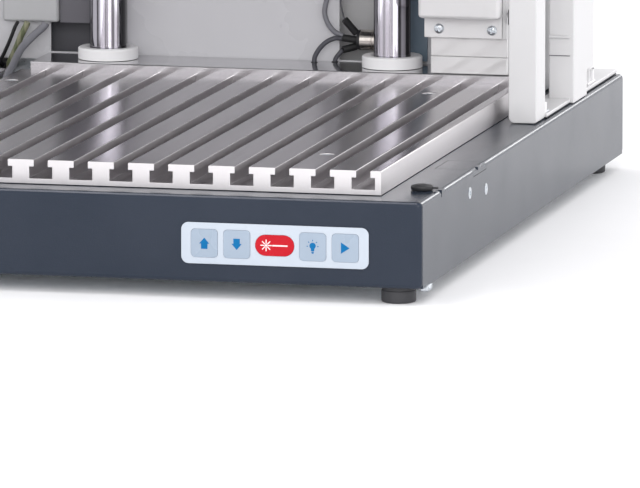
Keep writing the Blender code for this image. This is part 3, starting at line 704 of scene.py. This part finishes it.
def key_marks(face):
    half, shoulder, stem, tip = 3.15, -0.25, 2.0, 3.4
    arrow = [(-stem, -tip), (stem, -tip), (stem, shoulder), (half, shoulder), (0.0, tip),
             (-half, shoulder), (-stem, shoulder)]
    mark("mark_up", [arrow], centre("key_up"), face, "blue", "key_up")
    down = [(u, -v) for u, v in reversed(arrow)]
    mark("mark_down", [down], centre("key_down"), face, "blue", "key_down")
    play = [(-2.6, -3.45), (2.7, 0.0), (-2.6, 3.45)]
    mark("mark_start", [play], centre("key_start"), face, "blue", "key_start")
    bulb = arc((0.0, 0.7), 1.95, -55, 235, 18) + [(-0.95, -2.6), (0.95, -2.6)]
    cap = arc((0.0, -3.3), 0.75, 180, 360, 8) + [(0.75, -3.0), (-0.75, -3.0)]
    rays = [[(u, v + 0.7) for u, v in bar_shape(0.9, 0.45, angle, 2.8)]
            for angle in (-5, 42, 90, 138, 185)]
    mark("mark_light", [bulb, cap] + rays, centre("key_light"), face, "blue", "key_light")


def beam_mark(middle, face):
    """A plain starburst with a beam, for a lamp that tells that the beam is on."""
    star = [bar_shape(2.5, 0.62, 45 * i, 1.0) for i in range(8)]
    hub = arc((0.0, 0.0), 0.72, 0, 345, 23)
    shapes = [[(u - 5.2, v) for u, v in shape] for shape in star + [hub]]
    shapes.append([(-1.4, -0.42), (8.0, -0.42), (8.0, 0.42), (-1.4, 0.42)])
    mark("beam_mark", shapes, middle, face, "ink", "frame")


# ---- table, bar and columns
SLOT_PITCH, SLOT_COUNT = 25.0, 15
SLOT_NECK, SLOT_INNER = 4.35, 7.15     # half widths
SLOT_LIP, SLOT_FLOOR = 4.4, 3.2        # below the table's top, and above its underside
RIB_EDGE = 0.55
TABLE_HOLES = [(x, y) for x in (-137.5, 137.5) for y in (-214.0, 68.0)]


def rib_edge(x, sign, top):
    """The eased edge of the slot at x, from the rib's top down into the slot's neck."""
    angles = [math.radians(30 * i) for i in range(4)]
    return [(x + sign * (SLOT_NECK + RIB_EDGE * (1 - math.sin(a))),
             top - RIB_EDGE * (1 - math.cos(a))) for a in angles]


def work_table():
    """The T-slot table, with eased rib edges, saw-cut ends and its four fixing screws."""
    low, high = corners("t_slot_table")
    lip, floor_z, ease = high.z - SLOT_LIP, low.z + SLOT_FLOOR, RIB_EDGE
    outline = [(low.x, low.z), (high.x, low.z), (high.x, high.z - ease), (high.x - ease, high.z)]
    for i in reversed(range(SLOT_COUNT)):
        x = (i - (SLOT_COUNT - 1) / 2) * SLOT_PITCH
        outline += rib_edge(x, 1, high.z)
        outline += [(x + SLOT_NECK, lip), (x + SLOT_INNER, lip), (x + SLOT_INNER, floor_z),
                    (x - SLOT_INNER, floor_z), (x - SLOT_INNER, lip), (x - SLOT_NECK, lip)]
        outline += list(reversed(rib_edge(x, -1, high.z)))
    outline += [(low.x + ease, high.z), (low.x, high.z - ease)]
    table = prism("work_table", outline, "Y", low.y, high.y, "aluminium", edge=0.25,
                  stands_for=["t_slot_table"])
    bore = [(0, -6.0), (4.4, -6.0), (4.4, -0.4), (4.9, 0.1), (4.9, 2), (0, 2)]
    carve(table, [(add_turned, (bore, (x, y, high.z), "Z", 32)) for x, y in TABLE_HOLES])
    screws("table_screws", [(x, y, high.z - 3.3) for x, y in TABLE_HOLES], "Z", 7.8, drive="hexagon")


def ground_bar():
    low, high = corners("rear_bar")
    plate("cable_bar", low, high, "bar", edge=0.6, stands_for=["rear_bar"])
    ring = [(1.7, 0.0), (2.3, 0.0), (2.2, 0.25), (2.0, 0.4), (1.7, 0.4)]
    for name, route in (("cable_arc", ARC), ("cable_lower", LOWER)):
        x, y, _ = route[-1]
        turned("grommet_" + name, ring, (x, y, high.z), "Z", "rubber", sides=32)


def columns():
    for side in ("left", "right"):
        name = "guide_column_" + side
        radius, length, middle = upright(name)
        profile = [(0.0, 0.0), (radius, 0.0), (radius, length - 1.0), (radius - 1.0, length),
                   (0.0, length)]
        turned("ground_column_" + side, profile, middle, "Z", "chrome_" + side, sides=96,
               stands_for=[name])
        name = "column_collar_" + side
        outer, height, middle = upright(name)
        bore = radius + 0.2
        profile = [(bore, 0.0), (outer, 0.0)] + arc((outer - 1.3, height - 1.3), 1.3, 0, 90, 5)
        profile += [(radius + 2.2, height), (radius + 1.0, height - 1.4), (bore, height - 1.4)]
        turned("collar_ring_" + side, profile, middle, "Z", "collar", sides=72, stands_for=[name])


# ---- rear tower
BAY_TOP = 335.0


def left_cover():
    """A folded cover with a flange in painted shade at its right, over the left cable bay."""
    low, high = corners("left_wall_cover")
    wall_low, wall_high = corners("back_wall")
    fold = low.x + 37.5
    plate("bay_cover_left", low, (fold, high.y, high.z), "hood", edge=1.6, stands_for=["left_wall_cover"])
    plate("bay_flange_left", (fold + 0.3, low.y + 3.0, low.z - 0.4), (-93.0, high.y, high.z), "shade")
    back = wall_high.y + 14
    # a dark plate at the back of the left bay, as painted shade in the bay
    plate("bay_back_left", (-142, back, wall_low.z + 1), (-82, back + 1.5, BAY_TOP), "painted_shade_dark")


def right_side_boxes():
    """A rounded housing over a glossy two-part panel, held by a flange with two screws."""
    low, high = corners("right_wall_box")
    duct_low, duct_high = corners("right_duct")
    wall_low, wall_high = corners("back_wall")
    body_low = duct_high.z + 0.4
    fold, side = high.x - 12.0, high.x - 3.0
    plan = [(low.x, low.y), (fold, low.y), (side, low.y + 5.0), (side, high.y), (low.x, high.y)]
    # the housing and its flange take the lighter copy of the white coat, as painted light
    prism("wall_box", plan, "Z", body_low, high.z, "bright", edge=2.2, stands_for=["right_wall_box"])
    flange_y = 121.0
    plate("wall_box_return", (side + 0.3, flange_y + 0.5, low.z), (high.x, flange_y + 2.5, high.z),
          "white")
    plate("box_flange", (low.x + 1.4, flange_y, low.z), (side, flange_y + 1.6, body_low + 2),
          "bright", edge=0.4)
    z = (low.z + body_low) / 2 - 1.0
    screws("flange_screws", [(131.9, flange_y, z), (166.6, flange_y, z - 0.3)], "-Y", 6.4)
    x0, x1, front, seam = duct_low.x, duct_high.x, duct_low.y, duct_low.z + 11.0
    plate("duct_panel_lower", duct_low, (x1, front + 1.6, seam), "gloss", edge=0.5,
          stands_for=["right_duct"])
    plate("duct_panel_upper", (x0, front + 0.3, seam + 0.25), (x1, front + 1.9, body_low), "gloss",
          edge=0.5)
    plate("duct_body", (x0 + 0.2, front + 2.0, duct_low.z), (x1, duct_high.y, body_low - 0.5),
          "white", edge=0.4)
    plate("edge_bumper", (high.x + 1.5, 118.0, 116.0), (high.x + 3.5, 121.5, 126.0), "rubber", edge=0.6)
    # a dark blue-grey strip behind the right column, as painted shade in the bay
    plate("bay_shade_strip_right", (102.0, wall_low.y - 1.5, 84.0), (113.5, wall_low.y - 0.2, high.z), "painted_shade_blue")
    back = wall_high.y + 21
    plate("bay_back_right", (48, back, wall_low.z + 1), (116, back + 1.5, BAY_TOP), "white")


def posts():
    for side, sign in SIDES:
        front_post(side, sign)
        rear_post(side, sign)
        ledge(side, sign)


def front_post(side, sign):
    """A channel that is open to the rear, with its lower inner corner rounded."""
    name = "front_post_" + side
    low, high = corners(name)
    wall, corner = 2.0, 4.0
    inner, outer = (low.x, high.x) if sign > 0 else (high.x, low.x)
    start, end = (180, 270) if sign > 0 else (0, -90)
    turn = arc((inner + sign * corner, low.z + corner), corner, start, end, 8)
    outline = [(inner, high.z)] + turn + [(outer - sign * 1.0, low.z), (outer, low.z + 1.0),
                                          (outer, high.z)]
    post = prism("channel_post_" + side, outline, "Y", low.y, high.y, "white", edge=0.7,
                 stands_for=[name])
    x0, x1 = sorted((inner + sign * wall, outer - sign * wall))
    carve(post, [(add_block, ((x0, low.y + wall, low.z + 12), (x1, high.y + 5, high.z - 8)))])


def rear_post(side, sign):
    """A square post with a cut-back foot, a joint line and a bright locating tab on its front."""
    name = "rear_post_" + side
    low, high = corners(name)
    step_y, step_z = 189.0, low.z + 16.2
    outline = [(low.y, low.z), (step_y, low.z), (step_y, step_z), (high.y, step_z),
               (high.y, high.z), (low.y, high.z)]
    prism("square_post_" + side, outline, "X", low.x, high.x, "white", edge=0.8, stands_for=[name])
    x0, x1 = sorted((sign * 198.4, sign * 212.0))
    front = low.y - 0.2
    plate("post_tab_" + side, (x0, front - 2.0, low.z + 42.3), (x1, front, low.z + 43.7), "white")
    # the joint line is a real dark joint, in the same dark coat as the painted shade
    plate("post_joint_" + side, (x0, front - 0.25, low.z + 30.4), (x1, front, low.z + 30.9),
          "shade", edge=0.05)


def ledge(side, sign):
    """The white channel floor between the posts, with a clip and a bracket screwed to it."""
    name = "deck_ledge_" + side
    low, high = corners(name)
    outer, inner, waist = sign * 212.3, sign * 193.0, sign * 197.6
    notch_start, notch_end = 147.6, 189.4
    outline = [(inner, low.y), (outer, low.y), (outer, notch_start), (waist, notch_start),
               (waist, notch_end), (outer, notch_end), (outer, high.y), (inner, high.y)]
    prism("channel_floor_" + side, outline, "Z", low.z, high.z, "white", edge=0.5, stands_for=[name])
    top = high.z
    x0, x1 = sorted((sign * 203.5, sign * 211.0))
    plate("clip_leaf_" + side, (x0, 77.2, top), (x1, 81.5, top + 7.0), "collar", edge=0.5)
    plate("clip_foot_" + side, (x0, 81.5, top), (x1, 89.0, top + 1.2), "zinc", edge=0.4)
    screws("clip_screw_" + side, [((x0 + x1) / 2, 85.3, top + 1.2)], "Z", 4.6)
    x0, x1 = sorted((sign * 199.5, sign * 210.5))
    foot = top + 1.5
    hoop = [(213, top), (236, top), (236, foot), (231, foot), (231, top + 9), (228, top + 11),
            (220, top + 11), (218, top + 9), (218, foot), (213, foot)]
    bracket = prism("hose_bracket_" + side, hoop, "X", x0, x1, "collar", edge=0.5)
    carve(bracket, [(add_block, ((x0 - 1, 219.5, foot), (x1 + 1, 229.5, top + 9.2)))])
    screws("bracket_screws_" + side, [((x0 + x1) / 2, y, foot) for y in (215.5, 233.5)], "Z", 3.8)
    # a black strip under the channel floor, as painted shadow in the gap above the deck
    plate("ledge_painted_shadow_" + side, (min(inner, outer), low.y + 1, low.z - 0.7),
          (max(inner, outer) - 0.6, high.y - 1, low.z - 0.1), "rubber", edge=0.0)


# ---- hood, housing and rear
def outwards(sign):
    return "X" if sign > 0 else "-X"


def hood_details():
    """The window's bezel, the screws of the guide channels and a rubber lip along the bottom."""
    low, high = corners("hood_shell")
    pane_low, pane_high = corners("hood_window")
    lap, width, corner = 10.0, 11.0, 20.0
    face = low.y - 1.6
    bezel = prism("window_bezel", around_box(pane_low, pane_high, width - lap, corner, 8), "Y",
                  face, low.y, "anodised", body="hood", edge=0.5)
    opening = around_box(pane_low, pane_high, -lap, corner, 8)
    carve(bezel, [(add_prism, (opening, "Y", low.y - 9, low.y + 9))])
    x = pane_high.x - lap + width / 2
    rows = (pane_low.z + lap - width / 2, pane_high.z - lap + width / 2)
    places = [(u, face, z) for u in (-x + 4, -x / 3, x / 3, x - 4) for z in rows]
    places += [(u, face, sum(rows) / 2) for u in (-x, x)]
    screws("window_screws", places, "-Y", 5.0, body="hood", drive="hexagon")
    rail_y, step = centre("hood_rail_right").y, (high.z - low.z - 60) / 3
    for side, sign in SIDES:
        places = [(sign * high.x, y, low.z + 30 + step * i) for y in (rail_y - 11, rail_y + 11)
                  for i in range(4)]
        screws("channel_screws_" + side, places, outwards(sign), 6.0, body="hood")
        x0, x1 = sorted(sign * (high.x + offset) for offset in (-2.6, 0.6))
        plate("hood_lip_" + side, (x0, low.y + 16, low.z + 0.3), (x1, high.y, low.z + 5), "rubber",
              body="hood", edge=0.5)
    handle_low, handle_high = corners("hood_handle")
    places = [(x, handle_low.y + 3.2, handle_high.z - 3.6) for x in (-80, -27, 27, 80)]
    screws("handle_screws", places, "-Y", 4.0, body="hood")


def housing_details():
    """The housing's lid with its screws, its light bar and the window of the scanning lens."""
    low, high = corners("upper_housing")
    lid = prism("housing_lid", rounded(low.x + 6, low.y + 6, high.x - 6, high.y - 4, 7.0, 8), "Z",
                high.z - 0.4, high.z + 1.2, "hood", edge=0.5)
    xs, ys = (low.x + 14, 0.0, high.x - 14), (low.y + 14, (low.y + high.y) / 2, high.y - 12)
    places = [(x, y, high.z + 1.2) for x in xs for y in ys if (x, y) != (xs[1], ys[1])]
    screws("lid_screws", places, "Z", 6.0)
    slots = [(add_prism, (rounded(x - 2.0, high.y - 58, x + 2.0, high.y - 26, 1.99, 6), "Z",
                          high.z - 1.5, high.z + 5)) for x in range(-75, 76, 10)]
    carve(lid, slots)
    plate("lid_mesh", (-80, high.y - 60, high.z + 0.1), (80, high.y - 24, high.z + 0.3), "black",
          edge=0.05)
    plate("light_bar", (-150, low.y + 4, low.z + 3), (150, low.y + 14, low.z + 9), "film", edge=1.5)
    middle = upright("scan_lens")[2]
    body = frame_body("scan_lens")
    dome = [(0.0, -1.6), (10.0, -1.2), (18.0, -0.4), (22.0, 0.1), (0.0, 0.1)]
    turned("lens_glass", dome, middle, "Z", "glass", body=body, sides=64)
    grips = [(37.9 + 0.7 * (i % 2), 12.0 + 1.5 * i) for i in range(12)]
    turned("lens_grip", [(37.4, 11.0)] + grips + [(37.4, 30.0)], middle, "Z", "black", body=body,
           sides=64)


def frame_body(node):
    """The name of the body that a CAD node belongs to."""
    for name, nodes in frame["record"]["behaviour"]["bodies"].items():
        if node in nodes:
            return name
    raise ValueError(node)


def rear_details():
    """Louvres, cover screws, the exhaust's ring, filter and guard, and the inlet's pins."""
    low, high = corners("rear_cover")
    face = high.y
    louvres, louvre_shade = bmesh.new(), bmesh.new()
    for x0, x1 in ((-140, -60), (60, 140)):
        for i in range(9):
            z = 150 + 14.0 * i
            hood = [(face - 0.3, z), (face + 3.0, z), (face + 3.0, z + 0.9), (face + 1.6, z + 4.2),
                    (face - 0.3, z + 6.2)]
            add_prism(louvres, hood, "X", x0, x1)
            # a black strip under each louvre, as painted shade in its opening
            add_block(louvre_shade, (x0 + 1, face - 0.2, z - 1.6), (x1 - 1, face + 0.12, z - 0.05))
    piece("cover_louvres", louvres, "hood", edge=0.35)
    piece("louvre_painted_shade", louvre_shade, "black")
    heights = [low.z + 25 + (high.z - low.z - 50) / 4 * i for i in range(5)]
    screws("cover_screws_back", [(x, face, z) for x in (low.x + 12, high.x - 12) for z in heights],
           "Y", 6.0)
    for side, sign in SIDES:
        screws("cover_screws_" + side, [(sign * high.x, low.y + 12, z) for z in heights[1:]],
               outwards(sign), 6.0)
    middle = (centre("exhaust_port").x, face, centre("exhaust_port").z)
    flange = [(31.0, 0.0), (44.0, 0.0), (44.0, 1.6), (43.4, 2.2), (33.0, 2.2), (32.2, 3.0), (31.0, 3.0)]
    turned("exhaust_flange", flange, middle, "Y", "zinc", sides=96)
    turned("exhaust_filter", [(0.0, -4.0), (25.8, -4.0), (25.8, -3.2), (0.0, -3.2)], middle, "Y",
           "black", sides=64)
    guard = bmesh.new()
    for radius in (10.0, 17.0, 24.0):
        add_turned(guard, [(radius, 4.0), (radius + 1.4, 4.0), (radius + 1.4, 5.4), (radius, 5.4)],
                   middle, "Y", 64)
    for angle in (45, 135):
        spoke = [(middle[0] + u, middle[2] + v) for u, v in bar_shape(62.0, 1.4, angle, -31.0)]
        add_prism(guard, spoke, "Y", face + 2.6, face + 4.0)
    piece("exhaust_guard", guard, "zinc")
    spots = [(middle[0] + 38.5 * math.cos(t), face + 2.2, middle[2] + 38.5 * math.sin(t))
             for t in (math.radians(45 + 90 * i) for i in range(4))]
    screws("exhaust_screws", spots, "Y", 5.0)
    back = corners("rear_panel")[1].y
    places = [(x, back, z) for x in (-206, -90, 70, 206) for z in (18, 54)]
    screws("rear_panel_screws", places, "Y", 5.0)
    pins = bmesh.new()
    inlet = centre("mains_inlet")
    for x, z in ((-155, inlet.z - 1.5), (-148, inlet.z + 2.5), (-141, inlet.z - 1.5)):
        add_block(pins, (x - 1.0, 290.5, z - 2.0), (x + 1.0, 299.0, z + 2.0))
    piece("inlet_pins", pins, "nickel", edge=0.3)


# ---- connector and cables
CONNECTOR_LENGTH = 30.0


def connector():
    """A round metal connector with three grip grooves, a waist and a black ring at its end."""
    radius = (corners("cable_connector")[1].z - corners("cable_connector")[0].z) / 2
    middle = (corners("cable_connector")[0].x, *centre("cable_connector")[1:])
    groove = radius - 0.18
    profile = [(0.0, 0.0), (4.6, 0.0), (5.6, 0.8), (radius - 0.2, 1.6), (radius, 2.2)]
    for start in (9.6, 11.8, 14.0):
        profile += [(radius, start), (groove, start + 0.3), (groove, start + 0.9), (radius, start + 1.2)]
    profile += [(radius, 16.0), (5.4, 16.6), (5.4, 19.0), (6.2, 19.4), (6.2, 26.0), (4.8, 26.4),
                (4.8, CONNECTOR_LENGTH), (0.0, CONNECTOR_LENGTH)]
    turned("round_connector", profile, middle, "X", "nickel", sides=64, stands_for=["cable_connector"])
    ring = [(4.7, -0.4), (6.2, -0.2), (6.5, 0.8), (6.6, 1.9), (5.7, 1.9), (4.7, 0.2)]
    turned("connector_ring", ring, middle, "X", "black", sides=48)


SLEEVE_D = 4.8
TAILS = (                        # name, offset of its start from the connector's end, far end
    ("sleeve_upper", (-1.6, 0.0, 4.3), (59.4, 166.0, 110.1)),
    ("sleeve_middle", (-0.7, -1.5, 0.0), (57.5, 166.0, 98.4)),
    ("sleeve_lower", (-1.6, 0.0, -4.3), (58.1, 166.0, 90.5)),
)
CONNECTOR = (67.4, 171.0, 96.7)
LOOP = [(58.5, 167.0, 99.2), (56.9, 166.6, 100.0), (53.5, 165.6, 101.6), (50.8, 164.6, 104.4),
        (48.4, 163.8, 108.2), (46.8, 163.5, 113.2), (46.8, 163.5, 118.0), (48.6, 163.5, 125.0),
        (53.0, 163.8, 140.0), (58.0, 165.0, 158.0), (62.0, 168.0, 170.0), (65.0, 176.0, 176.0),
        (66.0, 192.0, 178.0)]
ARC = [(57.6, 163.4, 98.2), (56.4, 162.9, 98.3), (54.0, 161.6, 98.4), (49.8, 160.5, 96.8),
       (45.6, 160.2, 93.4), (42.6, 160.0, 89.5), (40.9, 160.0, 86.0), (40.5, 160.0, 83.0)]
LOWER = [(58.0, 166.0, 90.5), (57.2, 165.9, 89.7), (55.4, 165.4, 87.4), (53.8, 165.1, 85.2),
         (53.0, 165.0, 83.0)]
LEFT = [(-138.4, 158.2, 103.2), (-139.6, 157.4, 101.0), (-144.2, 154.0, 96.5), (-147.9, 150.0, 92.4),
        (-150.8, 145.0, 88.5), (-151.8, 138.0, 84.8), (-151.2, 128.0, 81.8), (-150.1, 117.0, 79.4),
        (-150.0, 107.0, 76.6), (-150.0, 97.0, 71.5)]
EARTH = [(-151.1, 159.0, 103.2), (-152.2, 159.3, 100.6), (-154.0, 160.0, 97.4), (-156.4, 161.0, 93.0),
         (-159.0, 163.0, 87.4), (-162.6, 165.5, 80.6), (-165.6, 168.5, 75.6), (-167.4, 174.0, 72.0),
         (-168.4, 184.0, 70.0)]
THIN_LEAD = [(59.2, 166.0, 110.4), (58.4, 166.0, 113.0), (57.3, 166.0, 117.0), (56.6, 166.0, 122.0),
             (57.0, 166.5, 135.0), (59.0, 168.0, 152.0), (61.0, 174.0, 166.0), (62.0, 190.0, 170.0)]
DARK_LEAD = [(-157.6, 159.5, 103.2), (-159.6, 160.2, 100.0), (-161.8, 161.0, 95.0),
             (-164.6, 162.6, 89.0), (-168.8, 166.0, 81.5), (-172.6, 170.0, 75.5), (-174.0, 180.0, 71.5)]


def cables():
    for name, offset, end in TAILS:
        start = tuple(a + b for a, b in zip(CONNECTOR, offset))
        middle = tuple((a + b) / 2 for a, b in zip(start, end))
        tube("heat_" + name, [start, middle, end], SLEEVE_D, "sleeve", stands_for=[name])
    for name, route, diameter, finish_name in (
            ("cable_loop", LOOP, 3.4, "grey_cable"), ("cable_arc", ARC, 3.2, "dark_cable"),
            ("cable_lower", LOWER, 3.0, "dark_cable"), ("cable_left", LEFT, 5.0, "grey_cable"),
            ("cable_earth", EARTH, 4.2, "earth")):
        tube("wire_" + name, route, diameter, finish_name, stands_for=[name])
    tube("wire_thin_lead", THIN_LEAD, 1.0, "dark_cable")
    tube("wire_dark_lead", DARK_LEAD, 2.4, "sleeve")


# ---- studio
CAMERA_PLACE = (1.45272, -5.76779, 0.88831)     # metres
CAMERA_YAW, CAMERA_PITCH = 13.3652, 8.6275
CAMERA_LENS, CAMERA_SENSOR = 534.7, 36.0
FLOOR_HALF = 40.0                               # metres


def camera():
    data = bpy.data.cameras.new("camera")
    data.lens = CAMERA_LENS
    data.sensor_width = CAMERA_SENSOR
    data.clip_start, data.clip_end = 0.1, 100.0
    cam = place_object("camera", data)
    cam.location = CAMERA_PLACE
    cam.rotation_euler = (math.radians(90 - CAMERA_PITCH), 0.0, math.radians(CAMERA_YAW))
    bpy.context.scene.camera = cam


def floor():
    bm = bmesh.new()
    bmesh.ops.create_grid(bm, x_segments=1, y_segments=1, size=FLOOR_HALF)
    mesh = bpy.data.meshes.new("floor")
    bm.to_mesh(mesh)
    bm.free()
    mesh.materials.append(finish("studio_floor", (0.95, 0.95, 0.955), (0.96, 0.96, 0.965),
                                 (0.8, 0.9), grain=300.0, depth=0.01,
                                 Emission_Color=(1.0, 1.0, 1.0, 1.0), Emission_Strength=0.015))
    place_object("floor", mesh)


def world():
    studio = bpy.data.worlds.new("studio")
    studio.use_nodes = True
    background = studio.node_tree.nodes["Background"]
    background.inputs["Color"].default_value = (0.985, 0.98, 1.0, 1.0)
    background.inputs["Strength"].default_value = 1.25
    bpy.context.scene.world = studio
    bpy.context.scene.view_settings.view_transform = "Standard"


LIGHTS = (                       # name, place, what it is aimed at, size and power
    ("front", (0.7, -2.8, 1.2), (0.0, 0.0, 0.1), 1.6, 30.0),
    ("right", (2.2, -0.6, 0.9), (0.5, 0.0, 0.0), 1.4, 2.0),
    ("overhead", (-0.6, -0.7, 2.5), (0.0, -0.3, 0.0), 0.6, 8.0),
    ("rear_edge", (0.75, 3.2, 0.88), (0.2, -0.1, 0.05), 0.5, 4.0),
    ("under_hood", (0.0, -0.12, 0.325), (0.0, 0.16, 0.0), 0.3, 0.10),
)


def lights():
    """Soft boxes in front, at the right, overhead and behind, and one inside the open hood."""
    for name, place, aim, size, power in LIGHTS:
        data = bpy.data.lights.new(name, "AREA")
        data.size = size
        data.energy = power
        obj = place_object(name, data)
        obj.location = place
        obj.rotation_euler = (Vector(aim) - Vector(place)).to_track_quat("-Z", "Y").to_euler()
        obj.visible_camera = False


for build in (camera, floor, world, lights, dress_cad_nodes, base, feet_and_buffers, keypad,
              work_table, ground_bar, columns, left_cover, right_side_boxes, posts, hood_details,
              housing_details, rear_details, connector, cables):
    build()
